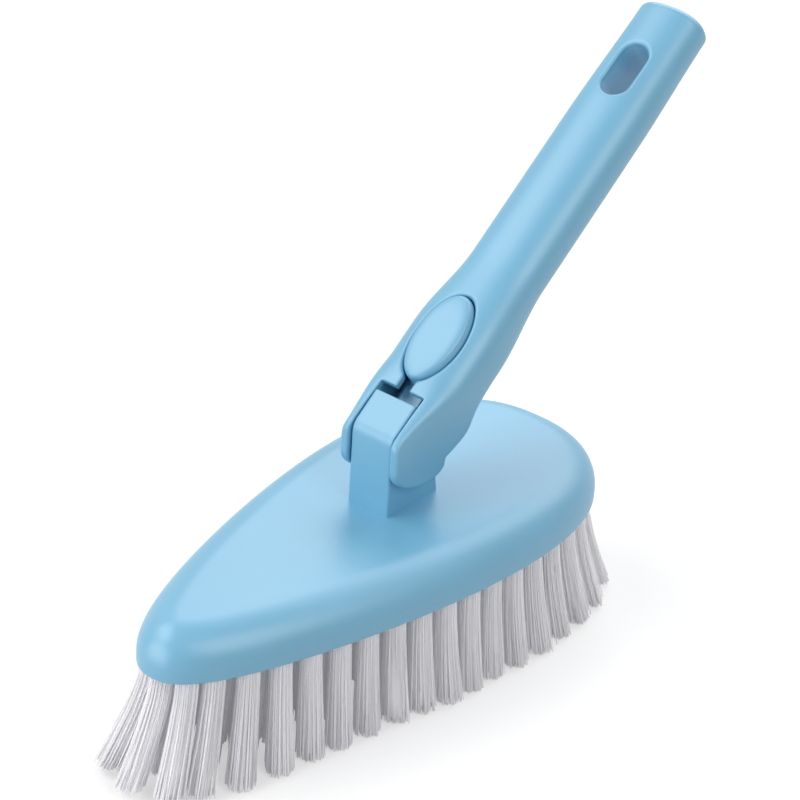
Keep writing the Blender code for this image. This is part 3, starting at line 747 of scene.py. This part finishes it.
def handle_section(s, y, n):
    """The handle's loft: a superellipse whose half-widths and squareness change along its line.

    The distance is measured along the ray from the handle's line: its length less the section's. The
    cheeks' extra reach behind fades with the cube of the way up, so that it runs out softly.
    """
    to_shoulder = blend(s, FORK_PLACE, SHOULDER_PLACE)
    to_grip = blend(s, SHOULDER_END, GRIP_START)
    half_width, front, back, squareness = (
        fork + (shoulder - fork) * to_shoulder + (grip - shoulder) * to_grip
        for fork, shoulder, grip in zip(FORK, SHOULDER, GRIP)
    )
    narrowing = 1 - GRIP_NARROWING * blend(s, HANDLE_LENGTH - GRIP_NARROWING_LENGTH, HANDLE_LENGTH)
    fading = np.clip((s - FORK_GAP_END) / (SHOULDER_END - FORK_GAP_END), 0.0, 1.0)
    deeper = FORK_REACH * (1 - fading) ** 3
    half_width = half_width * narrowing
    reach = np.where(n > 0, front * narrowing, back * narrowing + deeper)
    share = (np.abs(y / half_width) ** squareness + np.abs(n / reach) ** squareness) ** (1 / squareness)
    return np.hypot(y, n) * (1 - 1 / np.maximum(share, 1e-6))


def quarter(start, end, upright_first, steps=24):
    """Points of a quarter ellipse between two points, leaving the first upright or level."""
    angle = np.linspace(0.0, math.pi / 2, steps + 1)
    rise, run = np.sin(angle), 1 - np.cos(angle)
    if not upright_first:
        rise, run = run, rise
    across, up = end[0] - start[0], end[1] - start[1]
    return [(start[0] + across * a, start[1] + up * b) for a, b in zip(run, rise)]


def fork_corners():
    """Side view that the handle's lower end is trimmed to, as (place, height) points on its line."""
    front_x = POST_FRONT_X - FORK_SET_FORWARD
    seat = HANDLE_FOOT + ALONG * fork_seat() - OUT * SHOULDER[2]
    bottom = (POST_FRONT_X + EAR_BOTTOM_PLACE, HEAD_TOP + EAR_CLEARANCE)
    cheek = quarter((front_x, HEAD_TOP + EAR_FRONT_START), bottom, True)
    cheek += quarter(bottom, (seat[0], HEAD_TOP + EAR_BACK_START), False)[1:]
    corners = []
    for x, z in cheek:
        offset = np.array([x, 0.0, z]) - HANDLE_FOOT
        corners.append((offset @ ALONG, offset @ OUT))
    wide = FORK_REACH + SHOULDER[1]
    beyond = HANDLE_LENGTH + FORK_REACH
    flush_end = (SHOULDER_PLACE + SHOULDER_END) / 2
    corners += [(fork_seat(), -SHOULDER[2]), (flush_end, -SHOULDER[2]), (flush_end, -wide)]
    bend = front_bend(front_x, FORK[1] + GAP / 3)[::-1]
    corners += [(beyond, -wide), (beyond, wide), (bend[0][0], wide)]
    return corners + [tuple(point) for point in bend]


def handle_field(s, y, n):
    """The whole handle: its loft, trimmed to the fork's side view and to its end, less its openings."""
    edge = sizes().edge_rounding
    side = np.abs(y)
    solid = rounded_max(handle_section(s, y, n), s - HANDLE_LENGTH, HANDLE_END_ROUNDING)
    solid = rounded_max(solid, polygon(s, n, fork_corners()), FORK_ROUNDING)
    window_end = PAD_CENTRE + PAD_LENGTH / 2 + PAD_GAP
    floor = -TONGUE_BACK - GAP
    gap_below = block(s - fork_seat() - GAP, n - TONGUE_TOP, side - POST_HALF_WIDTH - GAP)
    gap_in_front = block(s - FORK_GAP_END, -n, side - POST_HALF_WIDTH - GAP)
    solid = rounded_max(solid, -np.minimum(gap_below, gap_in_front), 1.5 * edge)
    mouth = block(s - SLOT_END, floor - n, side - SLOT_HALF_WIDTH)
    stem = block(
        between(s, (TONGUE_FRONT_END + SLOT_END) / 2, PAD_CENTRE - PAD_LENGTH / 3),
        between(n, 0.0, WELL_OUTSIDE),
        side - SLOT_STEM_HALF_WIDTH,
    )
    solid = rounded_max(solid, -np.minimum(mouth, stem), edge)
    window = oval(s - PAD_CENTRE, y, PAD_LENGTH + 2 * PAD_GAP, PAD_WIDTH + 2 * PAD_GAP)
    solid = rounded_max(solid, -np.maximum(window, -n), 2.5 * edge)
    channel = block(between(s, 0.0, window_end), between(n, floor + GAP, 0.0), side - TONGUE_HALF_WIDTH - GAP)
    cavity = block(
        between(s, (FORK_GAP_END + TONGUE_FRONT_END) / 2, window_end + CAVITY_PAST_WINDOW),
        between(n, -CAVITY_DEPTH, CAVITY_FRONT),
        side - CAVITY_HALF_WIDTH,
    )
    bore = np.maximum(
        np.hypot(s - PIVOT_PLACE, n - PIVOT_HEIGHT) - PIVOT_RADIUS - PIVOT_GAP,
        side - PIVOT_HALF_LENGTH - GAP,
    )
    solid = np.maximum(solid, -np.minimum(np.minimum(channel, cavity), bore))
    hole = stadium(s - HOLE_PLACE, y, HOLE_LENGTH, HOLE_WIDTH)
    return rounded_max(solid, -hole, HOLE_ROUNDING)


# Latch


def lever_field(s, y, n):
    """The lever: the oval pad with its low dome, the arm, the hook, the trunnions and the spring's cup."""
    reach = np.hypot(2 * (s - PAD_CENTRE) / PAD_LENGTH, 2 * y / PAD_WIDTH)
    over = np.clip((reach - (1 - PAD_DOME_SHARE)) / PAD_DOME_SHARE, 0.0, 1.0)
    top = PAD_TOP - PAD_DOME * (1 - np.sqrt(1 - over * over * PAD_DOME_ROUNDNESS))
    wall = oval(s - PAD_CENTRE, y, PAD_LENGTH, PAD_WIDTH * PAD_WALL_WIDENING)
    pad = rounded_max(rounded_max(wall, n - top, PAD_TOP_ROUNDING), LEVER_BACK - n, PAD_BACK_ROUNDING)
    side = np.abs(y)
    arm = block(
        between(s, HOOK_PLACE, PAD_CENTRE), between(n, LEVER_BACK, LEVER_FRONT), side - LEVER_HALF_WIDTH
    )
    hook = block(
        between(s, HOOK_PLACE, HOOK_PLACE + HOOK_LENGTH),
        between(n, TONGUE_TOP - HOOK_REACH, LEVER_FRONT - HOOK_SET_BACK),
        side - LEVER_HALF_WIDTH + GAP,
    )
    pivot = np.hypot(s - PIVOT_PLACE, n - PIVOT_HEIGHT) - PIVOT_RADIUS
    trunnion = np.maximum(pivot, side - PIVOT_HALF_LENGTH)
    solid = rounded_min(pad, np.minimum(np.minimum(arm, hook), trunnion), PAD_FILLET)
    cup = np.hypot(s - SPRING_PLACE, y) - SPRING_CUP_RADIUS
    return np.maximum(solid, -np.maximum(cup, n - LEVER_BACK - SPRING_CUP_DEPTH))


def spring_points(sides=10):
    """A round wire along a helix: its circle is set across the wire's direction at each step."""
    low = GAP - TONGUE_BACK + SPRING_WIRE
    high = LEVER_BACK + SPRING_CUP_DEPTH - SPRING_WIRE - GAP
    steps = SPRING_TURNS * 32
    share = np.linspace(0.0, 1.0, steps + 1)
    angle = 2 * math.pi * SPRING_TURNS * share
    outward = np.stack([np.cos(angle), np.sin(angle), np.zeros_like(angle)], axis=1)
    centre = SPRING_RADIUS * outward
    centre[:, 0] += SPRING_PLACE
    centre[:, 2] = low + (high - low) * share
    ahead = np.gradient(centre, axis=0)
    ahead /= np.linalg.norm(ahead, axis=1, keepdims=True)
    upward = np.cross(ahead, outward)
    turn = np.linspace(0.0, 2 * math.pi, sides, endpoint=False)[:, None]
    ring = np.cos(turn) * outward[:, None, :] + np.sin(turn) * upward[:, None, :]
    points = (centre[:, None, :] + SPRING_WIRE * ring).reshape(-1, 3)
    caps = np.array([[0, 1, 2, 3], [3, 4, 5, 6], [6, 7, 8, 9], [0, 3, 6, 9]])
    faces = np.concatenate([tube_faces(steps + 1, sides), caps[:, ::-1], caps + steps * sides])
    return points, faces


# Bristle


def row_places():
    """The x of each row of tufts."""
    reach = HEAD_LENGTH / 2 - ROW_END_INSET
    return reach * np.arange(-(ROW_COUNT // 2), ROW_COUNT // 2 + 1) / (ROW_COUNT // 2)


def tufts_of_row(x):
    """The x and y of each tuft in the row at x: in line, or three on an arc round the toe.

    The row across the middle has an odd number of tufts, so that one stands under the post.
    """
    reach = half_width_at(x, TUFT_INSET)
    steps = round(2 * reach / TUFT_PITCH)
    if abs(x) < 1e-9:
        steps = 2 * round(reach / TUFT_PITCH)
    steps = min(steps, int(2 * reach / TUFT_LEAST_PITCH))
    if steps == 0:
        return x + TOE_PAIR_BACK * np.array([1.0, 0.0, 1.0]), TOE_PAIR_Y * np.array([-1.0, 0.0, 1.0])
    return np.full(steps + 1, x), -reach + 2 * reach * np.arange(steps + 1) / steps


def tuft_lean(x, y):
    """How far the tips of tufts stand outside their roots: least in the middle, most at toe and heel."""
    across = y / np.maximum(half_width_at(x), TUFT_INSET)
    toe = x < 0
    growth = np.abs(2 * x / HEAD_LENGTH) ** np.where(toe, LEAN_TOE_GROWTH, LEAN_HEEL_GROWTH)
    corner = np.where(toe, LEAN_TOE_CORNER, LEAN_HEEL_CORNER) * growth**LEAN_CORNER_GROWTH
    return np.where(toe, -LEAN_TOE, LEAN_HEEL) * growth, (LEAN_SIDE + corner) * across * np.abs(across)


def bristle_row(row_x, seed):
    """Points and faces of one row: each filament is a thin four-sided tube from its root to its tip.

    The roots of a tuft lie on a sunflower spiral inside its hole. A filament's tip stands off from its
    root by the tuft's lean, by a spread that grows with its distance from the tuft's middle, and by a
    little chance. Between them it bends: its offset grows with a power of the way down. Tufts that lean
    far at the toe end above the floor, because their filaments are no longer than the others.
    """
    rng = np.random.default_rng(seed)
    x, y = tufts_of_row(row_x)
    lean_x, lean_y = tuft_lean(x, y)
    tufts, count, rings, sides = len(y), sizes().filaments, 5, 4
    order = np.arange(count) + 0.5
    reach = np.sqrt(order / count)
    angle = order * math.pi * (3 - math.sqrt(5)) + rng.uniform(0, 2 * math.pi, (tufts, 1))
    disc_x, disc_y = reach * np.cos(angle), reach * np.sin(angle)
    root_x = x[:, None] + sizes().tuft_radius * disc_x
    root_y = y[:, None] + sizes().tuft_radius * disc_y
    spread = sizes().tuft_spread * rng.uniform(*SPREAD_RANGE, (tufts, 1))
    tip_x = root_x + lean_x[:, None] + spread * disc_x + rng.normal(0, TUFT_WANDER, (tufts, 1))
    tip_y = root_y + lean_y[:, None] + spread * disc_y + rng.normal(0, TUFT_WANDER, (tufts, 1))
    tip_x += rng.normal(0, FILAMENT_WANDER, (tufts, count))
    tip_y += rng.normal(0, FILAMENT_WANDER, (tufts, count))
    stray = rng.random((tufts, count)) < STRAY_SHARE
    tip_x += stray * rng.normal(0, STRAY_WANDER, (tufts, count))
    tip_y += stray * rng.normal(0, STRAY_WANDER, (tufts, count))
    upright = np.sqrt((BRISTLE_LENGTH + TRIM) ** 2 - lean_x**2)
    rise = np.where(x < 0, np.maximum(BRISTLE_LENGTH - upright, 0.0), 0.0)[:, None]
    uneven = TIP_CROWN * reach**3 + rng.random((tufts, count)) ** 2
    tip_z = rise + sizes().tip_unevenness * uneven
    down = np.linspace(0.0, 1.0, rings)
    top = BRISTLE_LENGTH + ROOT_DEPTH
    z = top + (tip_z[..., None] - top) * down
    bent = down**BEND_POWER
    centre_x = root_x[..., None] + (tip_x - root_x)[..., None] * bent
    centre_y = root_y[..., None] + (tip_y - root_y)[..., None] * bent
    thickness = sizes().filament_radius * rng.uniform(*THICKNESS_RANGE, (tufts, count, 1))
    radius = thickness * (1 - TIP_THINNING * down**3)
    turn = rng.uniform(0, math.pi / 2, (tufts, count, 1, 1)) + np.arange(sides) * 2 * math.pi / sides
    points = level_circles(centre_x, centre_y, z, radius, turn)
    ends = np.array([[0, 1, 2, 3], [3, 2, 1, 0]]) + np.array([[0], [(rings - 1) * sides]])
    one = np.concatenate([tube_faces(rings, sides)[:, ::-1], ends])
    faces = repeated(one, tufts * count, rings * sides)
    core_points, core_faces = tuft_cores(x, y, lean_x, lean_y, spread, top, rise)
    return np.concatenate([points, core_points]), np.concatenate([faces, core_faces + len(points)])


def tuft_cores(x, y, lean_x, lean_y, spread, top, rise):
    """The inner filaments of each tuft, drawn together as one closed tapered tube that follows its bend.

    Its circle has most of the tuft's radius at the same height, and it ends short of the tips, at a
    small ring that four-cornered faces close.
    """
    rings, sides = len(CORE_PLACES), 12
    bent = CORE_PLACES**BEND_POWER
    turn = np.arange(sides) * 2 * math.pi / sides
    radius = (sizes().tuft_radius + spread * bent) * CORE_SHARES
    centre_x, centre_y = x[:, None] + lean_x[:, None] * bent, y[:, None] + lean_y[:, None] * bent
    z = top + (rise - top) * CORE_PLACES
    points = level_circles(centre_x, centre_y, z, radius, turn)
    cap = np.array([[0, 1, 2, 3], [3, 4, 5, 6], [6, 7, 8, 9], [9, 10, 11, 0], [0, 3, 6, 9]])
    ends = [cap, cap[:, ::-1] + (rings - 1) * sides]
    one = np.concatenate([tube_faces(rings, sides)[:, ::-1], *ends])
    return points, repeated(one, len(y), rings * sides)


# Operators


class BRUSH_OT_head(bpy.types.Operator):
    """Builds the head's oval block, and the post and tongue that rise from it"""

    bl_idname = "brush.head"
    bl_label = "Head"

    def execute(self, context):
        plate = mesh_object("head_plate", *head_plate())
        dress(plate, shared_plastic(), "brush_body", "head_plastic", "head_block")
        post = skin("head_post", post_field, POST_BOX, sizes().skin_cell)
        dress(post, shared_plastic(), "brush_body", "head_plastic", "head_block")
        return {"FINISHED"}


class BRUSH_OT_handle(bpy.types.Operator):
    """Builds the handle with its fork, slot, window and hang hole"""

    bl_idname = "brush.handle"
    bl_label = "Handle"

    def execute(self, context):
        cell = sizes().skin_cell * HANDLE_CELLS
        handle = skin("handle_skin", handle_field, HANDLE_BOX, cell, HANDLE_FRAME, HANDLE_FOOT)
        dress(handle, shared_plastic(), "brush_body", "handle_plastic", "handle")
        return {"FINISHED"}


class BRUSH_OT_latch(bpy.types.Operator):
    """Builds the latch lever with its raised pad, and the coil spring under it"""

    bl_idname = "brush.latch"
    bl_label = "Latch"

    def execute(self, context):
        cell = sizes().skin_cell * LATCH_CELLS
        lever = skin("latch_skin", lever_field, LATCH_BOX, cell, HANDLE_FRAME, HANDLE_FOOT)
        dress(lever, shared_plastic(), "latch", "latch_plastic", "latch_lever")
        points, faces = spring_points()
        spring = mesh_object("latch_coil", points @ HANDLE_FRAME + HANDLE_FOOT, faces)
        dress(spring, spring_wire("spring_wire"), "brush_body", "spring_steel", "latch_spring")
        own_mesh(spring)
        return {"FINISHED"}


class BRUSH_OT_bristles(bpy.types.Operator):
    """Builds the rows of tufts from fine filaments"""

    bl_idname = "brush.bristles"
    bl_label = "Bristles"

    def execute(self, context):
        white = bristle_filament("white_filament", tuple(colours().bristle))
        for number, x in enumerate(row_places(), start=1):
            points, faces = bristle_row(float(x), 100 + number)
            row = mesh_object(f"tufts_{number:02d}", points, faces, smooth=False)
            dress(row, white, "brush_body", "bristle_white", f"bristle_row_{number:02d}")
        return {"FINISHED"}


class BRUSH_OT_studio(bpy.types.Operator):
    """Sets up the floor, the soft lamps, the world and the camera"""

    bl_idname = "brush.studio"
    bl_label = "Studio"

    def execute(self, context):
        scene = bpy.context.scene
        scene.view_settings.view_transform = "Standard"
        make_floor()
        make_world(scene)
        for lamp in LAMPS:
            soft_lamp(*lamp)
        scene.camera = make_camera(scene)
        return {"FINISHED"}


def make_floor():
    """A wide pale floor that looks white to the camera and keeps the brush's soft shadow."""
    corners = FLOOR_REACH * np.array([[-1.0, -1.0, 0.0], [1.0, -1.0, 0.0], [1.0, 1.0, 0.0], [-1.0, 1.0, 0.0]])
    floor = mesh_object("studio_floor", corners, np.array([[0, 1, 2, 3]]), smooth=False)
    finish = Finish("studio_floor")
    lift = finish.mix(finish.seen_directly(), (0.0, 0.0, 0.0, 1.0), (1.0, 1.0, 1.0, 1.0))
    finish.set(
        Base_Color=(*colours().floor, 1.0),
        Roughness=0.9,
        Emission_Color=lift,
        Emission_Strength=FLOOR_LIFT,
    )
    floor.data.materials.append(finish.material)


def make_world(scene):
    """An even white world: at full strength where it is seen directly, faint as a light."""
    world = bpy.data.worlds.new("studio_world")
    world.use_nodes = True
    scene.world = world
    nodes = Nodes(world.node_tree)
    background = nodes.tree.nodes["Background"]
    nodes.feed(background.inputs["Color"], (1.0, 1.0, 1.0, 1.0))
    nodes.feed(background.inputs["Strength"], nodes.seen_directly() * (1.0 - WORLD_LIGHT) + WORLD_LIGHT)


def soft_lamp(name, place, size, power):
    """A rectangular area lamp aimed at the brush, which the camera doesn't see."""
    light = bpy.data.lights.new(name, "AREA")
    light.shape = "RECTANGLE"
    light.size, light.size_y = size
    light.energy = power
    lamp = bpy.data.objects.new(name, light)
    bpy.context.scene.collection.objects.link(lamp)
    lamp.location = place
    lamp.rotation_euler = (Vector(LAMP_AIM) - Vector(place)).to_track_quat("-Z", "Y").to_euler()
    lamp.visible_camera = False


def make_camera(scene):
    """The camera: from its target, back along its direction, and turned about that by a small roll."""
    level = math.cos(CAMERA_ELEVATION)
    back = np.array(
        [math.sin(CAMERA_AZIMUTH) * level, -math.cos(CAMERA_AZIMUTH) * level, math.sin(CAMERA_ELEVATION)]
    )
    right = np.array([math.cos(CAMERA_AZIMUTH), math.sin(CAMERA_AZIMUTH), 0.0])
    up = np.cross(back, right)
    matrix = np.eye(4)
    matrix[:3, 0] = math.cos(CAMERA_ROLL) * right + math.sin(CAMERA_ROLL) * up
    matrix[:3, 1] = math.cos(CAMERA_ROLL) * up - math.sin(CAMERA_ROLL) * right
    matrix[:3, 2] = back
    matrix[:3, 3] = CAMERA_TARGET + CAMERA_DISTANCE * back
    data = bpy.data.cameras.new("photo_camera")
    data.sensor_width = CAMERA_SENSOR
    data.lens = CAMERA_LENS
    camera = bpy.data.objects.new("photo_camera", data)
    scene.collection.objects.link(camera)
    camera.matrix_world = Matrix(matrix.tolist())
    return camera


class BRUSH_PT_panel(bpy.types.Panel):
    """Lists the brush's sizes, colours and building steps"""

    bl_label = "Tile Brush"
    bl_idname = "BRUSH_PT_panel"
    bl_space_type = "VIEW_3D"
    bl_region_type = "UI"
    bl_category = "Tile Brush"

    def draw(self, context):
        column = self.layout.column()
        for group in (context.scene.brush_sizes, context.scene.brush_colours):
            for name in group.__annotations__:
                column.prop(group, name)
        for operator in OPERATORS:
            column.operator(operator.bl_idname)


OPERATORS = (BRUSH_OT_studio, BRUSH_OT_head, BRUSH_OT_handle, BRUSH_OT_latch, BRUSH_OT_bristles)
CLASSES = (BrushSizes, BrushColours, *OPERATORS, BRUSH_PT_panel)


def register():
    """Adds the classes and their values to the scene."""
    for cls in CLASSES:
        bpy.utils.register_class(cls)
    bpy.types.Scene.brush_sizes = PointerProperty(type=BrushSizes)
    bpy.types.Scene.brush_colours = PointerProperty(type=BrushColours)


def unregister():
    """Takes both away again."""
    del bpy.types.Scene.brush_colours
    del bpy.types.Scene.brush_sizes
    for cls in reversed(CLASSES):
        bpy.utils.unregister_class(cls)


def main():
    register()
    for operator in OPERATORS:
        group, name = operator.bl_idname.split(".")
        getattr(getattr(bpy.ops, group), name)()


if __name__ == "__main__":
    main()
